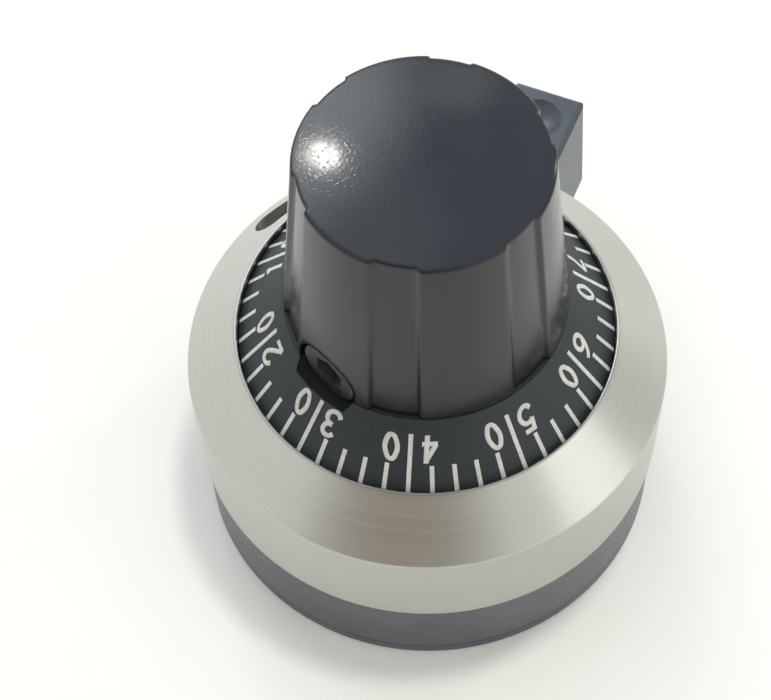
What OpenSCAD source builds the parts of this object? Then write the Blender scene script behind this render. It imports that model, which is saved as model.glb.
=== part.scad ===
// Turns-counting dial for a multi-turn potentiometer: a fluted knob with a conical scale,
// a turns counter under a window in the outer ring, and a locking lever on the base.
// Millimetres. The panel is the plane z = 0, the shaft axis is Z, and the window faces +Y.

/* [Outer ring] */
// Width of the bevel, seen from above
bevel_w = 2.52; // [2.2:0.02:2.7]
// Height above the panel at which the wall turns into the bevel
bevel_z = 9.93; // [9.4:0.01:11]
// Thickness of the wall
ring_wall = 0.7; // [0.6:0.05:0.9]
// Thickness of the bevelled face, square to it
bevel_wall = 0.6; // [0.5:0.05:0.7]
// Length of the counter window, along the ring
window_l = 7.9; // [6:0.1:9]
// Height of the counter window, down the slope of the bevel
window_h = 1.9; // [1.6:0.05:2.2]
// Distance from the lip down the slope to the middle of the window
window_s = 1.5; // [1.4:0.05:1.8]

/* [Base and lock] */
// Height of the black band under the outer ring
band_h = 4.85; // [4.2:0.05:5]
// How far the band lies inside the outer ring
band_inset = 0.12; // [0.05:0.01:0.4]
// Thickness of the base's flange on the panel
flange_t = 0.7; // [0.5:0.05:1.8]
// Width of the lock ring, from its bore to the outside of the band
lock_ring_w = 1.9; // [1.6:0.05:2]
// Swing of the locking lever from free to locked, in degrees
lock_swing = 20; // [12:1:25]
// Direction of the free lever, in degrees from +X
lever_az = 37.1; // [20:0.1:60]
// Width of the lever at its top
lever_w = 3.6; // [2.5:0.05:4]
// Reach of the lever's top from the shaft axis
lever_r = 16.6; // [15:0.02:19]
// Height of the lever's underside
lever_z0 = 3.1; // [2:0.05:3.4]
// Height of the lever's top
lever_z1 = 9.7; // [7:0.05:10]
// Draft of the lever's sides and end, in degrees
lever_draft = 2.3; // [0:0.1:3]
// Diameter of the finger dimple in the lever's top
dimple_d = 2.4; // [1.6:0.1:3]
// Depth of the finger dimple
dimple_depth = 0.5; // [0.1:0.05:0.6]
// Distance from the lever's end to the middle of the dimple
dimple_in = 1.9; // [1.7:0.1:3]
// Stroke of a brake shoe from free to locked
shoe_stroke = 0.1; // [0.06:0.01:0.14]
// Width of a brake shoe
shoe_w = 1.6; // [1.2:0.1:2]

/* [Panel and shaft] */
// Diameter of the round potentiometer shaft
shaft_d = 6.35; // [6:0.05:6.4]
// Diameter of the potentiometer's threaded bushing
bushing_d = 9.525; // [9:0.05:9.6]
// Height that the bushing may stand above the panel
bushing_h = 7.2; // [6:0.1:7.6]
// Diameter of the recess for the mounting nut
nut_d = 15.2; // [14.8:0.1:15.4]
// Depth of the recess for the mounting nut
nut_h = 2.5; // [2.2:0.05:2.7]
// Width of the notch for the locating lug
key_w = 2.4; // [1.6:0.1:3]
// Depth of the notch for the locating lug
key_h = 1; // [0.6:0.1:1.3]

/* [Knob and scale] */
// Diameter of the knob where it meets the scale
knob_foot_d = 12.74; // [12.4:0.05:13.2]
// Diameter of the knob at its top edge
knob_top_d = 10.76; // [10.3:0.05:12]
// Height of the knob from the scale to its top edge
knob_h = 10.1; // [8:0.1:14]
// Rise of the knob's domed top
dome_rise = 0.25; // [0.1:0.05:0.6]
// Radius of the knob's top edge
knob_edge = 0.1; // [0.05:0.05:0.6]
// Number of flutes round the knob
flutes = 6; // [4:1:8]
// Width of a flute at the knob's surface, in degrees
flute_angle = 21; // [12:0.5:25]
// Width of a flute at its floor, in degrees
flute_floor = 18; // [8:0.5:20]
// Depth of a flute
flute_depth = 0.2; // [0.1:0.01:0.3]
// Slope of the conical scale, in degrees
scale_slope = 50; // [45:1:54]
// Depth of the scale's edge below the lip
scale_drop = 0.45; // [0.2:0.01:0.5]
// Thickness of the scale's shell
scale_wall = 0.7; // [0.5:0.05:0.9]
// Diameter of the hub's barrel in the knob
barrel_d = 9.2; // [8.6:0.1:9.4]
// Diameter of a set screw
screw_d = 3; // [2.6:0.1:3.2]
// Length of a set screw
screw_l = 2.65; // [2:0.05:2.8]
// Width across the flats of a set screw's socket
socket_w = 1.5; // [1.2:0.05:1.6]
// Reach of a set screw's pocket into the scale, from the foot of the knob
pocket_w = 0.38; // [0.2:0.02:0.4]

/* [Counter gears] */
// Teeth on each half of the planet pinion
planet_teeth = 8; // [8:1:8]
// Teeth inside the fixed gear
fixed_teeth = 56; // [56:1:56]
// Teeth inside the counter ring
counter_teeth = 60; // [60:1:60]
// Width of the teeth of the fixed gear
fixed_face = 1.17; // [1:0.01:1.3]
// Width of the teeth of the counter ring
counter_face = 1.3; // [1.1:0.01:1.4]
// Diameter of the planet's axle
axle_d = 0.9; // [0.7:0.02:1]
// Clearance between the planet's teeth and the hub's sleeve
planet_gap = 0.15; // [0.1:0.01:0.25]
// Width of the brake disc outside the planet's axle
disc_rim = 0.44; // [0.3:0.01:0.6]

/* [Hidden] */
// Named clearances: sliding faces, running fits, gear backlash and open gaps
slide_gap = 0.05;
run_gap = 0.03;
backlash = 0.03;
lip_gap = 0.06;
drum_gap = 0.15;
open_gap = 0.1;
window_gap = 0.25;
shaft_gap = 0.025;
bushing_gap = 0.3;
lever_gap = 0.3;
screw_gap = 0.2;
shoe_gap = 0.12;

// Thin walls, washers and edges
edge = 0.08;
bevel_edge = 0.2;
base_edge = 0.15;
base_wall = 0.65;
deck_t = 0.7;
sleeve_wall = 0.7;
clip_t = 0.3;
clip_depth = 0.3;
clip_reach = 0.75;
clip_rise = 0.25;
hub_end = 0.2;
washer_t = 0.22;
washer_w = 1.1;
bush_wall = 0.45;
bush_flange_t = 0.15;
drag_t = 0.18;
disc_t = 0.6;
gear_flange_t = 0.35;
gear_seat = 0.15;
counter_wall = 0.2;
collar_w = 0.35;
collar_h = 0.6;
keeper_w = 0.5;
keeper_t = 0.22;
hub_top = 0.8;
barrel_cover = 3.85;
numeral_wall = 0.6;
spring_r = 0.18;
stop_w = 0.45;
stop_h = 0.6;
stop_angle = 4;
stop_slack = 0.6;
cam_margin = 1.4;
lever_edge = 0.3;
lever_bevel = 0.22;
socket_depth = 1.2;
screw_rise = 0.38;
fine = 96;

// Hub, bearing and knob radii, worked out from the shaft and the bushing outwards
bore_r = shaft_d / 2 + shaft_gap;
bushing_bore = bushing_d / 2 + bushing_gap;
sleeve_r = bushing_bore + sleeve_wall;
journal_r = sleeve_r + run_gap;
bush_r = journal_r + bush_wall;
washer_r = journal_r + washer_w;
nut_r = nut_d / 2;
barrel_r = barrel_d / 2;
foot_r = knob_foot_d / 2;
top_r = knob_top_d / 2;

// Gear sizes: the planet clears the hub, and both its halves share one centre distance
pressure = 25;
ring_addendum = 0.6;
planet_addendum = 0.85;
planet_dedendum = 0.8;
ring_dedendum = 1;
orbit_modules = (fixed_teeth - planet_teeth) / 2;
planet_modules = planet_teeth / 2 + planet_addendum;
fixed_module = (sleeve_r + planet_gap) / (orbit_modules - planet_modules);
orbit_r = orbit_modules * fixed_module;
counter_module = 2 * orbit_r / (counter_teeth - planet_teeth);
fixed_pitch = fixed_module * fixed_teeth / 2;
counter_pitch = counter_module * counter_teeth / 2;

// Brake, base and ring radii, worked out from the gears outwards
disc_r = orbit_r + axle_d / 2 + disc_rim;
drum_r = disc_r + drum_gap;
base_r = drum_r + base_wall;
lock_bore = base_r + slide_gap;
band_r = lock_bore + lock_ring_w;
ring_r = band_r + band_inset;
ring_bore = ring_r - ring_wall;
counter_bore = ring_bore - gear_seat;
lock_rim = ring_bore - open_gap;
lip_r = ring_r - bevel_w;
scale_r = lip_r - lip_gap;

// Heights worked out from the panel upwards
clip_z = nut_h + clip_rise;
washer_z = clip_z + clip_t;
deck_z0 = washer_z + washer_t + run_gap;
deck_z1 = deck_z0 + deck_t;
drag_z = deck_z1 + bush_flange_t + run_gap;
disc_z0 = drag_z + drag_t;
disc_z1 = disc_z0 + disc_t;
wall_z = disc_z1 + 2 * open_gap;
fixed_z0 = wall_z + gear_flange_t;
fixed_z1 = fixed_z0 + fixed_face;
planet_z0 = disc_z1 + collar_h + run_gap;
planet_mid = fixed_z1 + slide_gap;
counter_z0 = planet_mid + run_gap;
counter_z1 = counter_z0 + counter_face;
planet_z1 = counter_z1 - slide_gap;
axle_z = planet_z1 + run_gap + keeper_t;
hub_z0 = clip_z - hub_end;
shoulder_z = max(axle_z + open_gap, bushing_h + hub_top);
lip_z = bevel_z + ring_r - lip_r;
scale_z = lip_z - scale_drop;
foot_z = scale_z + (scale_r - foot_r) * tan(scale_slope);
edge_z = foot_z + knob_h;
barrel_z = edge_z - barrel_cover;
screw_z = foot_z + screw_rise;
spring_z = (nut_h + deck_z1) / 2;
lock_z0 = flange_t + slide_gap;
lock_z1 = band_h - slide_gap;
lock_z2 = wall_z - open_gap;

// Angles of the flutes, set screws, planet and brake shoes
flute_az = -13;
screw_az = [194.5, 74.5];
planet_az = -90;
shoe_az = [lever_az + 90, lever_az - 90];
stop_az = lever_az + 180;

black = "#2b2d30";
charcoal = "#3a3d41";
satin = "#b9bdb5";
brass = "#c9a650";
steel = "#a9adb0";
acetal = "#e4e2d8";

// A point at a radius and an angle
function polar(r, a) = [r * cos(a), r * sin(a)];

// Points along an arc round a centre
function arc(centre, r, a0, a1, n) = [for (i = [0:n]) centre + polar(r, a0 + (a1 - a0) * i / n)];

// Involute function of an angle in degrees, giving degrees
function involute(a) = tan(a) * 180 / PI - a;

// Half the angle that a tooth fills at radius r, for a gear of n teeth and pitch radius p
function tooth_half(n, p, r, slack) =
    90 / n + slack / p * 180 / PI + involute(pressure)
    - involute(acos(min(1, p * cos(pressure) / r)));

// Outline of a gear with tooth flanks running from radius r0 to r1
function gear_points(n, p, r0, r1, slack) =
    let (radii = [for (i = [0:3]) r0 + (r1 - r0) * i / 3])
    [for (k = [0:n - 1], side = [-1, 1], i = [0:3])
        let (r = side < 0 ? radii[i] : radii[3 - i])
        polar(r, 360 * k / n + side * tooth_half(n, p, r, slack))];

// Solid of revolution from an outline of radius and height
module revolve(points) {
    rotate_extrude($fn = fine) polygon(points);
}

// Round washer or sleeve
module tube(r_in, r_out, z0, z1) {
    rotate_extrude($fn = fine) translate([r_in, z0]) square([r_out - r_in, z1 - z0]);
}

// Wedge round the axis, for cuts that follow an angle
module wedge(r, a0, a1, z0, z1) {
    translate([0, 0, z0]) linear_extrude(z1 - z0) polygon([[0, 0], polar(r, a0), polar(r, a1)]);
}

// Radial hole for a set screw, from radius r0 outwards
module screw_hole(az, r, r0, length) {
    rotate([0, 0, az]) translate([r0, 0, screw_z]) rotate([0, 90, 0])
        cylinder(r = r, h = length, $fn = 48);
}

module base_plate() {
    groove = 2 * spring_r + slide_gap;
    clip_room = washer_r + open_gap;
    color(black) difference() {
        union() {
            revolve([[nut_r, 0], [band_r - base_edge, 0], [band_r, base_edge], [band_r, flange_t],
                     [base_r, flange_t], [base_r, wall_z], [drum_r, wall_z], [drum_r, deck_z1],
                     [bush_r, deck_z1], [bush_r, deck_z0], [clip_room, deck_z0],
                     [clip_room, nut_h], [nut_r, nut_h]]);
            // Lug that stops the lock ring at both ends of its swing
            intersection() {
                tube(base_r - base_wall, base_r + stop_w, flange_t, flange_t + stop_h);
                wedge(2 * ring_r, stop_az - stop_angle, stop_az + stop_angle, 0, wall_z);
            }
        }
        // Groove for the spring that drags on the lock ring
        tube(base_r - groove, base_r + slide_gap, spring_z - groove / 2, spring_z + groove / 2);
        // Slots that guide the brake shoes
        for (az = shoe_az) rotate([0, 0, az])
            translate([drum_r - base_wall, -shoe_w / 2 - slide_gap, disc_z0 - slide_gap])
                cube([3 * base_wall, shoe_w + 2 * slide_gap, wall_z]);
        // Notch for the potentiometer's locating lug
        rotate([0, 0, -90]) translate([0, -key_w / 2, -key_h]) cube([base_r, key_w, 2 * key_h]);
    }
}

module bearing_bush() {
    color(brass) revolve([[journal_r, deck_z0], [bush_r, deck_z0], [bush_r, deck_z1],
                          [washer_r, deck_z1], [washer_r, deck_z1 + bush_flange_t],
                          [journal_r, deck_z1 + bush_flange_t]]);
}

module fixed_gear() {
    tip = fixed_pitch - ring_addendum * fixed_module;
    root = fixed_pitch + ring_dedendum * fixed_module;
    color(acetal) {
        tube(drum_r, ring_bore, wall_z, fixed_z0);
        translate([0, 0, fixed_z0]) linear_extrude(fixed_face) difference() {
            circle(ring_bore, $fn = fine);
            rotate(planet_az) polygon(gear_points(fixed_teeth, fixed_pitch, tip, root, backlash));
        }
    }
}

module outer_ring() {
    fold = tan(22.5);
    bevel_in = bevel_wall * sqrt(2);
    slope_mid = lip_r + window_s / sqrt(2);
    half = (window_l - window_h) / 2;
    outline = concat(
        [[ring_bore, band_h], [ring_r - edge, band_h]],
        [[ring_r, band_h + edge]],
        arc([ring_r - bevel_edge, bevel_z - fold * bevel_edge], bevel_edge, 0, 45, 5),
        arc([lip_r + edge, lip_z - edge * (1 + sqrt(2))], edge, 45, 180, 6),
        [[lip_r, lip_z - bevel_in], [counter_bore, lip_z - bevel_in - (counter_bore - lip_r)]],
        [[counter_bore, fixed_z1], [ring_bore, fixed_z1]]);
    color(satin) difference() {
        revolve(outline);
        // Window with round ends, cut square to the bevel
        translate([0, slope_mid, lip_z - window_s / sqrt(2)]) rotate([-45, 0, 0]) {
            translate([-half, -window_h / 2, -2 * bevel_wall])
                cube([2 * half, window_h, 4 * bevel_wall]);
            for (side = [-1, 1]) translate([side * half, 0, -2 * window_h])
                cylinder(d = window_h, h = 3 * window_h, $fn = 48);
        }
    }
}

module lock_spring() {
    coil_r = base_r + run_gap - spring_r;
    color(steel) rotate([0, 0, stop_az - 140]) translate([0, 0, spring_z])
        rotate_extrude(angle = 280, $fn = fine) translate([coil_r, 0]) circle(spring_r, $fn = 24);
}

// Spiral pocket in the lock ring that drives a brake shoe inwards as the ring swings
module shoe_cam() {
    nose = disc_r + shoe_gap + base_wall + shoe_gap + 2 * open_gap + slide_gap;
    reach = cam_margin * asin(shoe_w / 2 / base_r);
    steps = 12;
    angles = [for (i = [0:steps]) -reach + (lock_swing + 2 * reach) * i / steps];
    outline = concat([for (a = angles) polar(nose - shoe_stroke * a / lock_swing, a)],
                     [polar(base_r - base_wall, lock_swing + reach), polar(base_r - base_wall, -reach)]);
    translate([0, 0, disc_z0 - open_gap]) linear_extrude(wall_z) polygon(outline);
}

module lock_ring() {
    stop_room = stop_angle + stop_slack;
    color(black) difference() {
        union() {
            revolve([[lock_bore, lock_z0], [band_r, lock_z0], [band_r, lock_z1], [lock_rim, lock_z1],
                     [lock_rim, lock_z2], [lock_bore, lock_z2]]);
            rotate([0, 0, lever_az]) lever();
        }
        for (az = shoe_az) rotate([0, 0, az]) shoe_cam();
        // Notch that rides over the base's stop lug
        intersection() {
            tube(lock_bore - slide_gap, base_r + stop_w + open_gap, 0, flange_t + stop_h + open_gap);
            wedge(2 * ring_r, stop_az - stop_room, stop_az + lock_swing + stop_room, 0, wall_z);
        }
    }
}

// Upright finger lever, along +X, standing clear of the outer ring
module lever() {
    half = lever_w / 2;
    top = lever_z1 - lever_bevel;
    dimple_r = dimple_d / 2;
    ball_r = (dimple_r * dimple_r + dimple_depth * dimple_depth) / (2 * dimple_depth);
    side = [[-lever_w, lever_z0], [lever_w, lever_z0], [lever_w, top - half], [half - lever_bevel, lever_z1],
            [lever_bevel - half, lever_z1], [-lever_w, top - half]];
    end = [[lock_rim, lever_z0], [lever_r + lever_w, lever_z0], [lever_r + lever_w, top - lever_w],
           [lever_r - lever_bevel, lever_z1], [lock_rim, lever_z1]];
    difference() {
        intersection() {
            drafted_side();
            mirror([0, 1, 0]) drafted_side();
            rotate([90, 0, 90]) linear_extrude(2 * lever_r) polygon(side);
            rotate([90, 0, 0]) linear_extrude(2 * lever_w, center = true) polygon(end);
        }
        translate([0, 0, lock_z1]) cylinder(r = ring_r + lever_gap, h = lever_z1, $fn = fine);
        translate([lever_r - dimple_in, 0, lever_z1 + ball_r - dimple_depth]) sphere(ball_r, $fn = fine);
    }
}

// Side of the lever that faces +Y, with its rounded outer corner, leaning outwards towards the panel
module drafted_side() {
    start = lock_rim - lever_edge;
    corner = lever_w / 2 - lever_edge;
    translate([0, 0, lever_z1]) rotate([lever_draft, -lever_draft, 0])
        translate([0, 0, -2 * lever_z1]) linear_extrude(3 * lever_z1) {
            translate([start, -lever_w]) square([lever_r - start, lever_w + corner]);
            translate([start, 0]) square([lever_r - lever_edge - start, lever_w / 2]);
            translate([lever_r - lever_edge, corner]) circle(lever_edge, $fn = 32);
        }
}

// Brake shoe along +X: a hollow face for the disc and a round nose for the cam
module brake_shoe() {
    face = disc_r + shoe_gap;
    nose = face + base_wall + shoe_gap + 2 * open_gap;
    intersection() {
        tube(face, nose, disc_z0, disc_z1);
        translate([0, -shoe_w / 2, 0]) cube([2 * ring_r, shoe_w, wall_z]);
    }
}

module brake_shoe_a() {
    color(steel) rotate([0, 0, shoe_az[0]]) brake_shoe();
}

module brake_shoe_b() {
    color(steel) rotate([0, 0, shoe_az[1]]) brake_shoe();
}

module shaft_hub() {
    groove = sleeve_r - clip_depth;
    color(brass) difference() {
        revolve([[bushing_bore, hub_z0], [sleeve_r, hub_z0], [sleeve_r, clip_z], [groove, clip_z],
                 [groove, washer_z], [sleeve_r, washer_z], [sleeve_r, shoulder_z],
                 [barrel_r, shoulder_z], [barrel_r, barrel_z], [0, barrel_z],
                 [0, barrel_z - hub_top], [bore_r, barrel_z - hub_top], [bore_r, bushing_h],
                 [bushing_bore, bushing_h]]);
        for (az = screw_az) screw_hole(az, screw_d / 2, bore_r / 2, barrel_r);
    }
}

module retaining_ring() {
    color(steel) rotate([0, 0, 30]) rotate_extrude(angle = 300, $fn = fine)
        translate([sleeve_r - clip_depth, clip_z]) square([clip_reach + clip_depth, clip_t]);
}

module thrust_washer() {
    color(acetal) tube(journal_r, washer_r, washer_z, washer_z + washer_t);
}

module drag_washer() {
    color(acetal) tube(journal_r, washer_r, drag_z, disc_z0);
}

module brake_disc() {
    color(steel) difference() {
        tube(sleeve_r, disc_r, disc_z0, disc_z1);
        rotate([0, 0, planet_az]) translate([orbit_r, 0, 0])
            cylinder(d = axle_d, h = wall_z, $fn = 32);
    }
}

module planet_axle() {
    color(steel) rotate([0, 0, planet_az]) translate([orbit_r, 0, 0]) {
        translate([0, 0, disc_z0]) cylinder(d = axle_d, h = axle_z - disc_z0, $fn = 32);
        translate([0, 0, disc_z1]) cylinder(r = axle_d / 2 + collar_w, h = collar_h, $fn = 32);
    }
}

// Toothed half of the planet, with a tooth pointing away from the shaft
module planet_teeth_half(module_size, z0, z1) {
    pitch = module_size * planet_teeth / 2;
    tip = pitch + planet_addendum * module_size;
    root = pitch - planet_dedendum * module_size;
    translate([0, 0, z0]) linear_extrude(z1 - z0)
        polygon(gear_points(planet_teeth, pitch, root, tip, -backlash));
}

module planet_gear() {
    color(brass) rotate([0, 0, planet_az]) translate([orbit_r, 0, 0]) difference() {
        union() {
            planet_teeth_half(fixed_module, planet_z0, planet_mid);
            planet_teeth_half(counter_module, planet_mid, planet_z1);
        }
        cylinder(r = axle_d / 2 + run_gap, h = axle_z, $fn = 32);
    }
}

module planet_keeper() {
    color(steel) rotate([0, 0, planet_az]) translate([orbit_r, 0, 0])
        tube(axle_d / 2, axle_d / 2 + keeper_w, axle_z - keeper_t, axle_z);
}

module counter_ring() {
    tip = counter_pitch - ring_addendum * counter_module;
    root = counter_pitch + ring_dedendum * counter_module;
    outside = counter_bore - open_gap;
    body = root + counter_wall;
    inner = lip_r + slide_gap;
    slope = lip_z + lip_r - (bevel_wall + window_gap) * sqrt(2);
    back = slope - numeral_wall * sqrt(2);
    color(black) {
        revolve([[body, counter_z0], [outside, counter_z0], [outside, slope - outside],
                 [inner, slope - inner], [inner, back - inner], [body, back - body]]);
        translate([0, 0, counter_z0]) linear_extrude(counter_face) difference() {
            circle(body, $fn = fine);
            rotate(planet_az) polygon(gear_points(counter_teeth, counter_pitch, tip, root, backlash));
        }
    }
}

module scale_cone() {
    fall = scale_wall / cos(scale_slope);
    inside = scale_r - scale_wall;
    core = foot_r + scale_wall;
    skirt_z = lip_z - 3 * scale_wall;
    slope = tan(scale_slope);
    color(black) difference() {
        revolve([[barrel_r, shoulder_z], [core, shoulder_z],
                 [core, scale_z + (scale_r - core) * slope - fall],
                 [inside, scale_z + scale_wall * slope - fall], [inside, skirt_z], [scale_r, skirt_z],
                 [scale_r, scale_z], [foot_r, foot_z], [barrel_r, foot_z]]);
        intersection() {
            for (az = screw_az) screw_hole(az, screw_d / 2 + screw_gap, bore_r, ring_r);
            cylinder(r = foot_r + pocket_w, h = edge_z, $fn = fine);
        }
    }
}

// Knob outline: tapered side, rounded edge and domed top
module knob_outline() {
    taper = (foot_r - top_r) / knob_h;
    lean = atan(taper);
    dome_r = (top_r * top_r + dome_rise * dome_rise) / (2 * dome_rise);
    dome_z = edge_z + dome_rise - dome_r;
    a = foot_r + taper * foot_z - knob_edge / cos(lean);
    b = a * taper + dome_z;
    c = a * a + dome_z * dome_z - pow(dome_r - knob_edge, 2);
    mid_z = (b + sqrt(b * b - (taper * taper + 1) * c)) / (taper * taper + 1);
    mid = [a - taper * mid_z, mid_z];
    up = (mid - [0, dome_z]) / norm(mid - [0, dome_z]);
    intersection() {
        translate([0, dome_z]) circle(dome_r, $fn = 4 * fine);
        polygon([[0, foot_z], [foot_r, foot_z], mid + polar(knob_edge, lean), mid,
                 mid + 2 * knob_edge * up, [0, edge_z + 2 * dome_rise]]);
    }
    translate(mid) circle(knob_edge, $fn = 48);
}

// Corner of a flute's plan at the foot of the knob: step 0 is at the floor, 1 at the surface
function flute_corner(step, side) =
    polar(foot_r + flute_depth * (step - 1), side * (flute_floor + (flute_angle - flute_floor) * step) / 2);

// Shallow tapered strip between two finger lobes, with sloping sides and a round floor
module flute() {
    taper = (foot_r - top_r) / knob_h / foot_r;
    over = 1;
    low = 1 + over * taper;
    high = 1 - (knob_h + over) * taper;
    floor_r = foot_r - flute_depth;
    translate([0, 0, foot_z - over]) difference() {
        linear_extrude(knob_h + 2 * over, scale = high / low) scale(low)
            polygon([flute_corner(-1, -1), flute_corner(3, -1), flute_corner(3, 1), flute_corner(-1, 1)]);
        cylinder(r1 = floor_r * low, r2 = floor_r * high, h = knob_h + 2 * over, $fn = fine);
    }
}

module knob() {
    color(charcoal) difference() {
        rotate_extrude($fn = fine) knob_outline();
        for (k = [0:flutes - 1]) rotate([0, 0, flute_az + 360 * k / flutes]) flute();
        cylinder(r = barrel_r, h = barrel_z, $fn = fine);
        for (az = screw_az) screw_hole(az, screw_d / 2 + screw_gap, bore_r, ring_r);
    }
}

module set_screws() {
    color(steel) for (az = screw_az) difference() {
        screw_hole(az, screw_d / 2, bore_r + open_gap, screw_l);
        rotate([0, 0, az]) translate([bore_r + open_gap + screw_l - socket_depth, 0, screw_z])
            rotate([0, 90, 0]) cylinder(d = socket_w / cos(30), h = socket_depth, $fn = 6);
    }
}

base_plate();
bearing_bush();
fixed_gear();
outer_ring();
lock_spring();
lock_ring();
brake_shoe_a();
brake_shoe_b();
shaft_hub();
retaining_ring();
thrust_washer();
drag_washer();
brake_disc();
planet_axle();
planet_gear();
planet_keeper();
counter_ring();
scale_cone();
knob();
set_screws();
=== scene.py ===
import math

import bmesh
import bpy
from mathutils import Matrix, Vector


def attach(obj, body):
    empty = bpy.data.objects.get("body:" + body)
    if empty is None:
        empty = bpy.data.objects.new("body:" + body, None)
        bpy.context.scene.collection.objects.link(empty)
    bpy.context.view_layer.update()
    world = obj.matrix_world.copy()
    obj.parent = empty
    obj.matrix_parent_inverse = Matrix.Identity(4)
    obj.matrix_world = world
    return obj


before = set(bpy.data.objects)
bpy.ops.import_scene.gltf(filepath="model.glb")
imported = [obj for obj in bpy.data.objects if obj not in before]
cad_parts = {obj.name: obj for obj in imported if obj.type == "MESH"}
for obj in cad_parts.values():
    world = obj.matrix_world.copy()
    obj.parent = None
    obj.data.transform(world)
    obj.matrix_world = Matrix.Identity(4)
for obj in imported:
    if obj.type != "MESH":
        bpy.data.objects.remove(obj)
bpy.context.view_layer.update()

# Sizes of the dial, in millimetres, in the frame of its solids
MM = 0.001
SCALE_SLOPE = math.radians(50)
SCALE_EDGE_R, SCALE_EDGE_Z = 8.59, 12.0
BEVEL_SLOPE = math.radians(45)
BEVEL_Z = (9.88, 9.93)  # the ring's wall passes into its bevel between these heights
LIP_R, LIP_Z = 8.65, 12.45  # where the bevel would end if the ring's lip were sharp
LIP_ROUND_Z = (12.27, 12.3)  # the bevel passes into the rounded lip between these heights
COUNTER_SUM = 19.898  # radius plus height anywhere on the counter's figured face
INDEX_AZIMUTH = 90
KNOB_POLISH_Z = (24.546, 24.746)  # the knob's side passes into its polished top between these heights

# Printed marks, in millimetres
INK = 0.02
LINE_W = 0.2
TICK_R = (7.741, 8.56)
LONG_LINE_R = (6.795, 8.56)
DIVISIONS = 50
LONG_LINE_EVERY = 5
FIGURE_R = 7.24
FIGURE_SHIFT = 0.84
STROKE_W = 0.23
COUNTER_FIGURES = 15
COUNTER_FIGURE_R = 9.11
COUNTER_DIGIT_STEP = 0.9
INDEX_LINE_W, INDEX_LINE_L = 0.16, 0.36
INDEX_LINE_R = LIP_R + 0.22

# A noise pattern stays nearly all between these values
NOISE_LOW, NOISE_HIGH = 0.3, 0.7
# Colour sockets of a Mix node
MIX_A, MIX_B, MIX_RESULT = 6, 7, 2


def paint(hex_colour):
    """Linear colour of an sRGB hex value."""
    def linear(pair):
        c = int(pair, 16) / 255
        return c / 12.92 if c <= 0.04045 else ((c + 0.055) / 1.055) ** 2.4
    return tuple(linear(hex_colour[i:i + 2]) for i in (1, 3, 5)) + (1.0,)


def add(tree, kind, inputs=(), **settings):
    """Adds a node. Inputs are (socket, value) pairs, and a value that is a socket is linked."""
    node = tree.nodes.new("ShaderNode" + kind)
    for key, value in settings.items():
        setattr(node, key, value)
    for key, value in inputs:
        if isinstance(value, bpy.types.NodeSocket):
            tree.links.new(value, node.inputs[key])
        else:
            node.inputs[key].default_value = value
    return node


def start(name):
    """A new empty material, its node tree and the object coordinates in metres."""
    material = bpy.data.materials.new(name)
    material.use_nodes = True
    tree = material.node_tree
    tree.nodes.clear()
    return material, tree, add(tree, "TexCoord").outputs["Object"]


def per_mm(size):
    """Noise scale for features of this size in millimetres."""
    return 1 / (size * MM)


def varied(tree, pattern, low, high):
    """Changes from one number to another, or from one hex colour to another, with a noise pattern."""
    share = add(tree, "MapRange", [("Value", pattern), ("From Min", NOISE_LOW), ("From Max", NOISE_HIGH)])
    share = share.outputs["Result"]
    if isinstance(low, str):
        mix = add(tree, "Mix", [("Factor", share), (MIX_A, paint(low)), (MIX_B, paint(high))],
                  data_type="RGBA")
        return mix.outputs[MIX_RESULT]
    return add(tree, "MapRange", [("Value", share), ("To Min", low), ("To Max", high)]).outputs["Result"]


def turned_lines(tree, place, size):
    """Noise that only changes with radius and height, so it runs in circles like a lathe's marks."""
    xyz = add(tree, "SeparateXYZ", [("Vector", place)])
    flat = add(tree, "CombineXYZ", [("X", xyz.outputs["X"]), ("Y", xyz.outputs["Y"])])
    radius = add(tree, "VectorMath", [(0, flat.outputs["Vector"])], operation="LENGTH")
    track = add(tree, "CombineXYZ", [("X", radius.outputs["Value"]), ("Y", xyz.outputs["Z"])])
    noise = add(tree, "TexNoise", [("Vector", track.outputs["Vector"]), ("Scale", per_mm(size)),
                                   ("Detail", 3.0), ("Roughness", 0.6)], noise_dimensions="2D")
    return noise.outputs["Fac"]


def moulded_knob():
    # Phenolic from a lightly blasted mould: blue-black and slightly cloudy, its edges eased, with a
    # glossier top full of tiny pits. The pits are drawn coarser than real ones, so that they show.
    material, tree, place = start("moulded_charcoal_knob")
    cloud = add(tree, "TexNoise", [("Vector", place), ("Scale", per_mm(1.6)), ("Detail", 4.0)])
    cloud = cloud.outputs["Fac"]
    grain = add(tree, "TexNoise", [("Vector", place), ("Scale", per_mm(0.15)), ("Detail", 2.0)])
    pits = add(tree, "MapRange", [("Value", grain.outputs["Fac"]), ("From Min", 0.54), ("From Max", 0.8)])
    height = add(tree, "SeparateXYZ", [("Vector", place)]).outputs["Z"]
    polish = add(tree, "MapRange", [("Value", height), ("From Min", KNOB_POLISH_Z[0] * MM),
                                    ("From Max", KNOB_POLISH_Z[1] * MM), ("To Min", 1.0), ("To Max", 0.4)])
    rough = add(tree, "Math", [(0, varied(tree, cloud, 0.18, 0.23)), (1, polish.outputs["Result"])],
                operation="MULTIPLY")
    eased = add(tree, "Bevel", [("Radius", 0.3 * MM)], samples=8)
    bump = add(tree, "Bump", [("Height", pits.outputs["Result"]), ("Strength", 0.36),
                              ("Distance", 0.004 * MM), ("Normal", eased.outputs["Normal"])])
    shader = add(tree, "BsdfPrincipled", [("Base Color", varied(tree, cloud, "#11151a", "#171b20")),
                                          ("Roughness", rough.outputs[0]), ("IOR", 1.5),
                                          ("Normal", bump.outputs["Normal"])])
    add(tree, "OutputMaterial", [("Surface", shader.outputs["BSDF"])])
    return material


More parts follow.
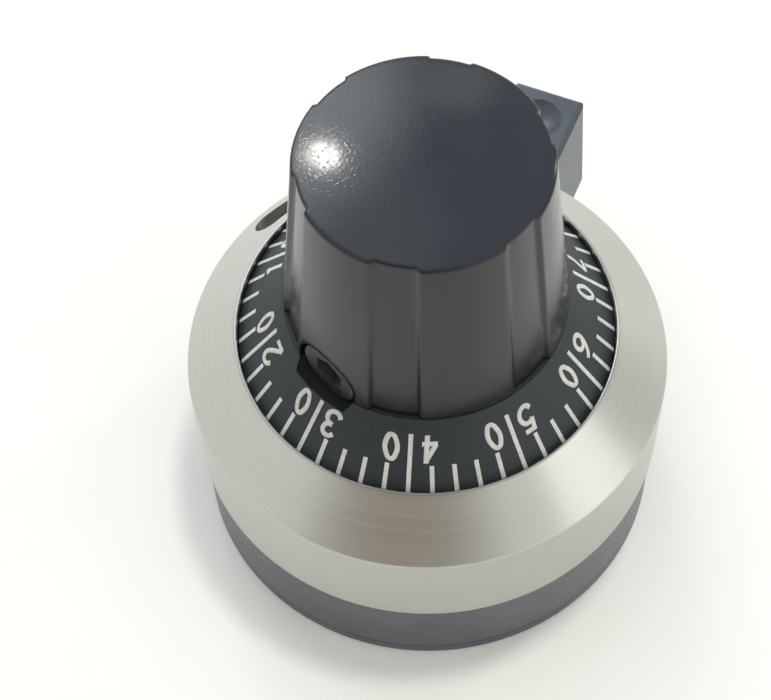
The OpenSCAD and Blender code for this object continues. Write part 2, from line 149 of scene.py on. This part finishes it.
def scale_lacquer():
    # Matt black lacquer on the cone: flat and sooty, with a faint spray texture
    material, tree, place = start("matt_black_scale_lacquer")
    spray = add(tree, "TexNoise", [("Vector", place), ("Scale", per_mm(0.2)), ("Detail", 3.0)])
    spray = spray.outputs["Fac"]
    bump = add(tree, "Bump", [("Height", spray), ("Strength", 0.2), ("Distance", 0.006 * MM)])
    shader = add(tree, "BsdfPrincipled", [("Base Color", varied(tree, spray, "#21282c", "#2b3236")),
                                          ("Roughness", varied(tree, spray, 0.5, 0.62)), ("IOR", 1.5),
                                          ("Normal", bump.outputs["Normal"])])
    add(tree, "OutputMaterial", [("Surface", shader.outputs["BSDF"])])
    return material


def turned_aluminium():
    # Aluminium turned on a lathe and satin finished: circular lines draw the light into radial fans.
    # The bevel is painted lighter than the wall, as painted light on the bevel and painted shade on the
    # wall, and the rounded lip is painted darker, as painted shade that dims its reflection
    material, tree, place = start("turned_satin_aluminium")
    lines = turned_lines(tree, place, 0.07)
    bump = add(tree, "Bump", [("Height", lines), ("Strength", 0.08), ("Distance", 0.002 * MM)])
    around = add(tree, "Tangent", direction_type="RADIAL", axis="Z")
    height = add(tree, "SeparateXYZ", [("Vector", place)]).outputs["Z"]
    lip = add(tree, "MapRange", [("Value", height), ("From Min", LIP_ROUND_Z[0] * MM),
                                 ("From Max", LIP_ROUND_Z[1] * MM)])
    bevel = add(tree, "MapRange", [("Value", height), ("From Min", BEVEL_Z[0] * MM),
                                   ("From Max", BEVEL_Z[1] * MM)])
    # Painted light and shade: the bevel's colours are lighter than the wall's, standing in for shade on the
    # wall
    turned = add(tree, "Mix", [("Factor", bevel.outputs["Result"]),
                               (MIX_A, varied(tree, lines, "#bbbdb7", "#c1c3bd")),
                               (MIX_B, varied(tree, lines, "#c3c5bf", "#c9cbc5"))], data_type="RGBA")
    # Painted shade: the rounded lip is mixed to a darker grey, which dims its reflection
    colour = add(tree, "Mix", [("Factor", lip.outputs["Result"]), (MIX_A, turned.outputs[MIX_RESULT]),
                               (MIX_B, paint("#aaaaa2"))], data_type="RGBA")
    shader = add(tree, "BsdfPrincipled", [("Base Color", colour.outputs[MIX_RESULT]), ("Metallic", 1.0),
                                          ("Roughness", varied(tree, lines, 0.3, 0.36)),
                                          ("Anisotropic", 0.7), ("Anisotropic Rotation", 0.25),
                                          ("Tangent", around.outputs["Tangent"]),
                                          ("Normal", bump.outputs["Normal"])])
    add(tree, "OutputMaterial", [("Surface", shader.outputs["BSDF"])])
    return material


def base_moulding():
    # Moulded black nylon: dark grey, fine matt skin that picks up light from the table
    material, tree, place = start("moulded_black_base")
    grain = add(tree, "TexNoise", [("Vector", place), ("Scale", per_mm(0.16)), ("Detail", 3.0)])
    grain = grain.outputs["Fac"]
    cloud = add(tree, "TexNoise", [("Vector", place), ("Scale", per_mm(2.5)), ("Detail", 2.0)])
    cloud = cloud.outputs["Fac"]
    bump = add(tree, "Bump", [("Height", grain), ("Strength", 0.25), ("Distance", 0.006 * MM)])
    shader = add(tree, "BsdfPrincipled", [("Base Color", varied(tree, cloud, "#40464f", "#4b5159")),
                                          ("Roughness", varied(tree, grain, 0.3, 0.4)), ("IOR", 1.53),
                                          ("Normal", bump.outputs["Normal"])])
    add(tree, "OutputMaterial", [("Surface", shader.outputs["BSDF"])])
    return material


def counter_moulding():
    # Moulded black ring under the window: dead matt, slightly greyer where the skin is worn
    material, tree, place = start("matt_black_counter_ring")
    grain = add(tree, "TexNoise", [("Vector", place), ("Scale", per_mm(0.3)), ("Detail", 3.0)])
    grain = grain.outputs["Fac"]
    shader = add(tree, "BsdfPrincipled", [("Base Color", varied(tree, grain, "#151617", "#1f2021")),
                                          ("Roughness", varied(tree, grain, 0.5, 0.65)), ("IOR", 1.5),
                                          ("Specular IOR Level", 0.2)])
    add(tree, "OutputMaterial", [("Surface", shader.outputs["BSDF"])])
    return material


def turned_metal(name, dark, light, rough):
    # Plain lathe-turned metal: fine circular lines and no polish
    material, tree, place = start(name)
    lines = turned_lines(tree, place, 0.1)
    bump = add(tree, "Bump", [("Height", lines), ("Strength", 0.2), ("Distance", 0.003 * MM)])
    shader = add(tree, "BsdfPrincipled", [("Base Color", varied(tree, lines, dark, light)),
                                          ("Metallic", 1.0),
                                          ("Roughness", varied(tree, lines, rough, rough + 0.1)),
                                          ("Normal", bump.outputs["Normal"])])
    add(tree, "OutputMaterial", [("Surface", shader.outputs["BSDF"])])
    return material


def blackened_screw():
    # Alloy steel with black oxide, slightly oily, with small worn spots.
    # Its grey is painted lighter than black oxide, as painted light on the face that sits in shade in its
    # hole
    material, tree, place = start("black_oxide_screw_painted_light")
    spots = add(tree, "TexNoise", [("Vector", place), ("Scale", per_mm(0.35)), ("Detail", 4.0)])
    spots = spots.outputs["Fac"]
    # Painted light: a mid grey, lighter than black oxide, for the face in the hole's shade
    shader = add(tree, "BsdfPrincipled", [("Base Color", varied(tree, spots, "#505350", "#666966")),
                                          ("Metallic", 0.4),
                                          ("Roughness", varied(tree, spots, 0.3, 0.45))])
    add(tree, "OutputMaterial", [("Surface", shader.outputs["BSDF"])])
    return material


def white_acetal():
    # Moulded acetal: milky white with a waxy skin
    material, tree, place = start("natural_white_acetal")
    cloud = add(tree, "TexNoise", [("Vector", place), ("Scale", per_mm(1.5)), ("Detail", 2.0)])
    cloud = cloud.outputs["Fac"]
    shader = add(tree, "BsdfPrincipled", [("Base Color", varied(tree, cloud, "#dcdad0", "#e6e4da")),
                                          ("Roughness", varied(tree, cloud, 0.35, 0.45)),
                                          ("IOR", 1.48)])
    add(tree, "OutputMaterial", [("Surface", shader.outputs["BSDF"])])
    return material


def printing_ink(name, thin, thick):
    # Screen ink: nearly even, thinner in places along the strokes
    material, tree, place = start(name)
    cover = add(tree, "TexNoise", [("Vector", place), ("Scale", per_mm(0.25)), ("Detail", 3.0)])
    cover = cover.outputs["Fac"]
    shader = add(tree, "BsdfPrincipled", [("Base Color", varied(tree, cover, thin, thick)),
                                          ("Roughness", varied(tree, cover, 0.5, 0.6)), ("IOR", 1.5)])
    add(tree, "OutputMaterial", [("Surface", shader.outputs["BSDF"])])
    return material


brass = turned_metal("turned_brass", "#b08d4a", "#c3a05a", 0.25)
steel = turned_metal("plain_steel", "#9a9da0", "#b0b3b6", 0.3)
acetal = white_acetal()
base_black = base_moulding()
FINISH = {
    "base_plate": base_black, "lock_ring": base_black, "outer_ring": turned_aluminium(),
    "knob": moulded_knob(), "scale_cone": scale_lacquer(), "counter_ring": counter_moulding(),
    "set_screws": blackened_screw(), "shaft_hub": brass, "bearing_bush": brass,
    "planet_gear": brass, "fixed_gear": acetal, "thrust_washer": acetal, "drag_washer": acetal,
    "lock_spring": steel, "brake_shoe_a": steel, "brake_shoe_b": steel, "retaining_ring": steel,
    "brake_disc": steel, "planet_axle": steel, "planet_keeper": steel,
}
for name, finish in FINISH.items():
    for material_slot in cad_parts[name].material_slots:
        material_slot.material = finish
white_ink = printing_ink("off_white_ink", "#c6c9c3", "#dadcd6")
black_ink = printing_ink("black_ink", "#202122", "#2a2b2c")

# Strokes of the figures, 1.2 mm high: each is a list of points, smooth or with sharp corners
SMOOTH, CORNERS, LOOP = "smooth", "corners", "loop"
SIX = [(0.2, 0.58), (-0.02, 0.45), (-0.2, 0.2), (-0.3, -0.12), (-0.28, -0.4), (-0.14, -0.57),
       (0.04, -0.6), (0.22, -0.5), (0.3, -0.27), (0.22, -0.04), (0.04, 0.05), (-0.16, -0.02),
       (-0.28, -0.2)]
STROKES = {
    "0": [(LOOP, [(0, 0.57), (0.21, 0.33), (0.21, -0.33), (0, -0.57), (-0.21, -0.33), (-0.21, 0.33)])],
    "1": [(CORNERS, [(-0.14, 0.38), (0.08, 0.56)]), (CORNERS, [(0.08, 0.65), (0.08, -0.65)])],
    "2": [(SMOOTH, [(-0.3, 0.32), (-0.2, 0.53), (0.02, 0.6), (0.24, 0.5), (0.3, 0.28), (0.18, 0),
                    (-0.1, -0.34), (-0.31, -0.6)]),
          (CORNERS, [(-0.31, -0.6), (0.32, -0.6)])],
    "3": [(SMOOTH, [(-0.28, 0.42), (-0.14, 0.57), (0.03, 0.6), (0.22, 0.5), (0.27, 0.3), (0.18, 0.1),
                    (-0.06, 0.03)]),
          (SMOOTH, [(-0.06, 0.03), (0.2, -0.06), (0.31, -0.28), (0.24, -0.5), (0.02, -0.6),
                    (-0.18, -0.55), (-0.31, -0.38)])],
    "4": [(CORNERS, [(0.13, 0.65), (0.13, -0.65)]), (CORNERS, [(0.13, 0.56), (-0.27, -0.22)]),
          (CORNERS, [(-0.34, -0.24), (0.34, -0.24)])],
    "5": [(CORNERS, [(0.26, 0.56), (-0.3, 0.56)]), (CORNERS, [(-0.2, 0.6), (-0.25, 0.05)]),
          (SMOOTH, [(-0.27, 0.08), (-0.08, 0.19), (0.14, 0.16), (0.29, -0.03), (0.3, -0.28),
                    (0.18, -0.5), (-0.03, -0.6), (-0.2, -0.55), (-0.31, -0.4)])],
    "6": [(SMOOTH, SIX)],
    "7": [(CORNERS, [(-0.31, 0.6), (0.31, 0.6)]),
          (SMOOTH, [(0.31, 0.6), (0.08, 0.15), (-0.08, -0.25), (-0.12, -0.6)])],
    "8": [(LOOP, [(0, 0.6), (0.24, 0.45), (0.22, 0.18), (0, 0.05), (-0.22, 0.18), (-0.24, 0.45)]),
          (LOOP, [(0, 0.05), (0.27, -0.1), (0.28, -0.42), (0, -0.6), (-0.28, -0.42), (-0.27, -0.1)])],
    "9": [(SMOOTH, [(-x, -y) for x, y in SIX])],
}


def figure_mesh(digit):
    """One figure as a flat low-relief mesh, in millimetres, from curves with a round section."""
    curve = bpy.data.curves.new("figure_" + digit, "CURVE")
    curve.dimensions = "3D"
    curve.bevel_depth = STROKE_W / 2
    curve.bevel_resolution = 2
    curve.resolution_u = 5
    curve.use_fill_caps = True
    for form, points in STROKES[digit]:
        spline = curve.splines.new("BEZIER")
        spline.bezier_points.add(len(points) - 1)
        spline.use_cyclic_u = form == LOOP
        for bezier, (x, y) in zip(spline.bezier_points, points):
            bezier.co = (x, y, 0)
            bezier.handle_left_type = bezier.handle_right_type = "VECTOR" if form == CORNERS else "AUTO"
    carrier = bpy.data.objects.new(curve.name, curve)
    bpy.context.scene.collection.objects.link(carrier)
    drawn = carrier.evaluated_get(bpy.context.evaluated_depsgraph_get())
    mesh = bpy.data.meshes.new_from_object(drawn)
    bpy.data.objects.remove(carrier)
    mesh.transform(Matrix.Diagonal((1, 1, 2 * INK / STROKE_W, 1)))
    return mesh


def line_mesh(width, length):
    """One scale line as a flat bar with eased edges, in millimetres."""
    bm = bmesh.new()
    bmesh.ops.create_cube(bm, size=1)
    bmesh.ops.scale(bm, verts=bm.verts, vec=(width, length, 2 * INK))
    bmesh.ops.bevel(bm, geom=bm.edges, offset=0.4 * INK, affect="EDGES", segments=1, profile=0.5,
                    material=-1)
    mesh = bpy.data.meshes.new("line")
    bm.to_mesh(mesh)
    bm.free()
    return mesh


def lay_on_cone(bm, mesh, shift, azimuth, r, z, slope):
    """Adds a flat mesh to bm, bent onto a cone: x runs clockwise, y down the slope."""
    first = len(bm.verts)
    bm.from_mesh(mesh)
    bm.verts.ensure_lookup_table()
    for v in bm.verts[first:]:
        x, y, lift = v.co.x + shift, v.co.y, v.co.z
        out = r + y * math.cos(slope)
        turn = math.radians(azimuth) - x / out
        out += lift * math.sin(slope)
        up = z - y * math.sin(slope) + lift * math.cos(slope)
        v.co = (out * math.cos(turn), out * math.sin(turn), up)


def finish_piece(name, bm, material, body):
    """Makes the piece's object in metres and fixes it to a body."""
    bmesh.ops.scale(bm, verts=bm.verts, vec=(MM, MM, MM))
    mesh = bpy.data.meshes.new(name)
    bm.to_mesh(mesh)
    bm.free()
    mesh.materials.append(material)
    piece = bpy.data.objects.new(name, mesh)
    bpy.context.scene.collection.objects.link(piece)
    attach(piece, body)


def scale_z(r):
    """Height of the scale's face at this radius."""
    return SCALE_EDGE_Z + (SCALE_EDGE_R - r) * math.tan(SCALE_SLOPE)


figures = {digit: figure_mesh(digit) for digit in STROKES}


def scale_marks():
    """Fifty lines round the scale, with a number on both sides of each long one."""
    bm = bmesh.new()
    tick, long_line = (line_mesh(LINE_W, (r1 - r0) / math.cos(SCALE_SLOPE))
                       for r0, r1 in (TICK_R, LONG_LINE_R))
    for k in range(DIVISIONS):
        azimuth = INDEX_AZIMUTH + 360 * k / DIVISIONS
        numbered = k % LONG_LINE_EVERY == 0
        mark, (r0, r1) = (long_line, LONG_LINE_R) if numbered else (tick, TICK_R)
        middle = (r0 + r1) / 2
        lay_on_cone(bm, mark, 0, azimuth, middle, scale_z(middle), SCALE_SLOPE)
        if numbered:
            label = "%d0" % (k // LONG_LINE_EVERY)
            for digit, shift in zip(label, (-FIGURE_SHIFT, FIGURE_SHIFT)):
                lay_on_cone(bm, figures[digit], shift, azimuth, FIGURE_R, scale_z(FIGURE_R), SCALE_SLOPE)
    finish_piece("scale_marks", bm, white_ink, "rotor")


def counter_figures():
    """Numbers of the turns, on the ring behind the window."""
    bm = bmesh.new()
    for k in range(COUNTER_FIGURES):
        label = str(k)
        azimuth = INDEX_AZIMUTH + 360 * k / COUNTER_FIGURES
        for place, digit in enumerate(label):
            shift = COUNTER_DIGIT_STEP * (place - (len(label) - 1) / 2)
            lay_on_cone(bm, figures[digit], shift, azimuth, COUNTER_FIGURE_R,
                        COUNTER_SUM - COUNTER_FIGURE_R, BEVEL_SLOPE)
    finish_piece("counter_figures", bm, white_ink, "counter")


def index_line():
    """Line on the ring's bevel, between the lip and the window."""
    bm = bmesh.new()
    lay_on_cone(bm, line_mesh(INDEX_LINE_W, INDEX_LINE_L), 0, INDEX_AZIMUTH, INDEX_LINE_R,
                LIP_Z + LIP_R - INDEX_LINE_R, BEVEL_SLOPE)
    finish_piece("index_line", bm, black_ink, "frame")


scale_marks()
counter_figures()
index_line()


def seen_directly(tree):
    """One for rays from the camera, from mirrors and through glass, and zero for rays that light things."""
    path = add(tree, "LightPath")
    sharp = add(tree, "Math", [(0, path.outputs["Is Camera Ray"]), (1, path.outputs["Is Glossy Ray"])],
                operation="MAXIMUM")
    return add(tree, "Math", [(0, sharp.outputs[0]), (1, path.outputs["Is Transmission Ray"])],
               operation="MAXIMUM").outputs[0]


# The table lies this far under the base, in millimetres, so that their faces don't coincide
TABLE_GAP = 0.01


def white_table():
    # White card: matt and even, slightly warm, lifted a little towards white where it is seen
    material, tree, place = start("white_card")
    fibre = add(tree, "TexNoise", [("Vector", place), ("Scale", per_mm(4)), ("Detail", 3.0)])
    colour = varied(tree, fibre.outputs["Fac"], "#fbfaf5", "#fdfcf7")
    card = add(tree, "BsdfPrincipled", [("Base Color", colour), ("Roughness", 0.8)])
    white = add(tree, "Emission", [("Color", (1, 1, 0.985, 1)), ("Strength", 1.0)])
    share = add(tree, "Math", [(0, seen_directly(tree)), (1, 0.1)], operation="MULTIPLY")
    mix = add(tree, "MixShader", [(0, share.outputs[0]), (1, card.outputs["BSDF"]),
                                  (2, white.outputs["Emission"])])
    add(tree, "OutputMaterial", [("Surface", mix.outputs[0])])
    bm = bmesh.new()
    bmesh.ops.create_grid(bm, x_segments=1, y_segments=1, size=1.0)
    mesh = bpy.data.meshes.new("table")
    bm.to_mesh(mesh)
    bm.free()
    mesh.materials.append(material)
    table = bpy.data.objects.new("table", mesh)
    table.location.z = -TABLE_GAP * MM
    bpy.context.scene.collection.objects.link(table)


def toward(azimuth, elevation):
    """Unit vector, from angles in degrees."""
    a, e = math.radians(azimuth), math.radians(elevation)
    return Vector((math.cos(e) * math.cos(a), math.cos(e) * math.sin(a), math.sin(e)))


# Soft patches of the room: azimuth, elevation, inner and outer radius in degrees, and colour
ROOM_PATCHES = [
    (-131, 28, 10, 44, paint("#9f9082")),  # warm dark side in front of the dial
    (60, 66, 10, 40, (0.9, 1.0, 1.17, 1)),  # cool ceiling
    (78, 62, 4, 12.5, (1.3, 1.42, 1.58, 1)),  # brighter part of the ceiling
    (85, 42, 8, 20.5, (3.6, 3.9, 4.1, 1)),  # bright ceiling panel
    (56, 44.5, 0.5, 4.5, (1.6, 1.75, 1.85, 1)),  # small ceiling panel
    (0, 4, 12, 45, paint("#cdcdc8")),  # shaded wall on the right
]


def white_room():
    """White room that lights the table evenly, and that the camera sees as plain white."""
    world = bpy.data.worlds.new("white_room")
    world.use_nodes = True
    tree = world.node_tree
    tree.nodes.clear()
    way = add(tree, "TexCoord").outputs["Generated"]
    room = paint("#f4f4f0")
    for azimuth, elevation, inner, outer, colour in ROOM_PATCHES:
        facing = add(tree, "VectorMath", [(0, way), (1, toward(azimuth, elevation))],
                     operation="DOT_PRODUCT")
        patch = add(tree, "MapRange", [("Value", facing.outputs["Value"]),
                                       ("From Min", math.cos(math.radians(outer))),
                                       ("From Max", math.cos(math.radians(inner)))],
                    interpolation_type="SMOOTHSTEP")
        room = add(tree, "Mix", [("Factor", patch.outputs["Result"]), (MIX_A, room), (MIX_B, colour)],
                   data_type="RGBA").outputs[MIX_RESULT]
    path = add(tree, "LightPath")
    room = add(tree, "Mix", [("Factor", path.outputs["Is Camera Ray"]), (MIX_A, room),
                             (MIX_B, (1, 1, 1, 1))], data_type="RGBA").outputs[MIX_RESULT]
    light = add(tree, "Background", [("Color", room), ("Strength", 0.82)])
    backdrop = add(tree, "Background", [("Color", room), ("Strength", 1.0)])
    mix = add(tree, "MixShader", [(0, seen_directly(tree)), (1, light.outputs[0]),
                                  (2, backdrop.outputs[0])])
    add(tree, "OutputWorld", [("Surface", mix.outputs[0])])
    bpy.context.scene.world = world


def lamp(name, azimuth, elevation, distance, size, watts, colour, mirrored=True):
    """Oval lamp that faces the dial: angles in degrees, distance, width and height in metres."""
    data = bpy.data.lights.new(name, "AREA")
    data.shape = "ELLIPSE"
    data.size, data.size_y = size
    data.energy = watts
    data.color = paint(colour)[:3]
    obj = bpy.data.objects.new(name, data)
    way = toward(azimuth, elevation)
    facing = way.to_track_quat("Z", "Y").to_matrix().to_4x4()
    obj.matrix_world = Matrix.Translation(way * distance) @ facing
    obj.visible_glossy = mirrored
    bpy.context.scene.collection.objects.link(obj)


# Camera fitted to the scale's marks and the ring's edges: lens and place in millimetres, angles in degrees
LENS, SENSOR = 91.33, 36
CAMERA_PLACE = (-23.24, -40.54, 88.29)
CAMERA_AZIMUTH, CAMERA_ELEVATION, CAMERA_ROLL = -27.47, 59.18, -2.98


def camera():
    """Camera at the photograph's viewing angle."""
    data = bpy.data.cameras.new("camera")
    data.sensor_fit = "HORIZONTAL"
    data.sensor_width = SENSOR
    data.lens = LENS
    data.clip_start = 0.005
    data.clip_end = 10
    obj = bpy.data.objects.new("camera", data)
    turn = Matrix.Rotation(math.radians(CAMERA_AZIMUTH), 4, "Z")
    tilt = Matrix.Rotation(math.radians(90 - CAMERA_ELEVATION), 4, "X")
    roll = Matrix.Rotation(math.radians(CAMERA_ROLL), 4, "Z")
    obj.matrix_world = Matrix.Translation(Vector(CAMERA_PLACE) * MM) @ turn @ tilt @ roll
    bpy.context.scene.collection.objects.link(obj)
    bpy.context.scene.camera = obj


white_table()
white_room()
lamp("ceiling_bulb", 76, 54.4, 0.3, (0.011, 0.017), 0.019, "#fffaf0")
lamp("ceiling_light", 8, 80.5, 0.4, (0.05, 0.05), 0.42, "#fffdf8", mirrored=False)
lamp("side_light", 6, 30, 0.5, (0.06, 0.06), 0.18, "#fffdf6")
lamp("window", -53, 18, 0.5, (0.29, 0.29), 0.19, "#fafff8")
camera()
bpy.context.scene.view_settings.view_transform = "Standard"
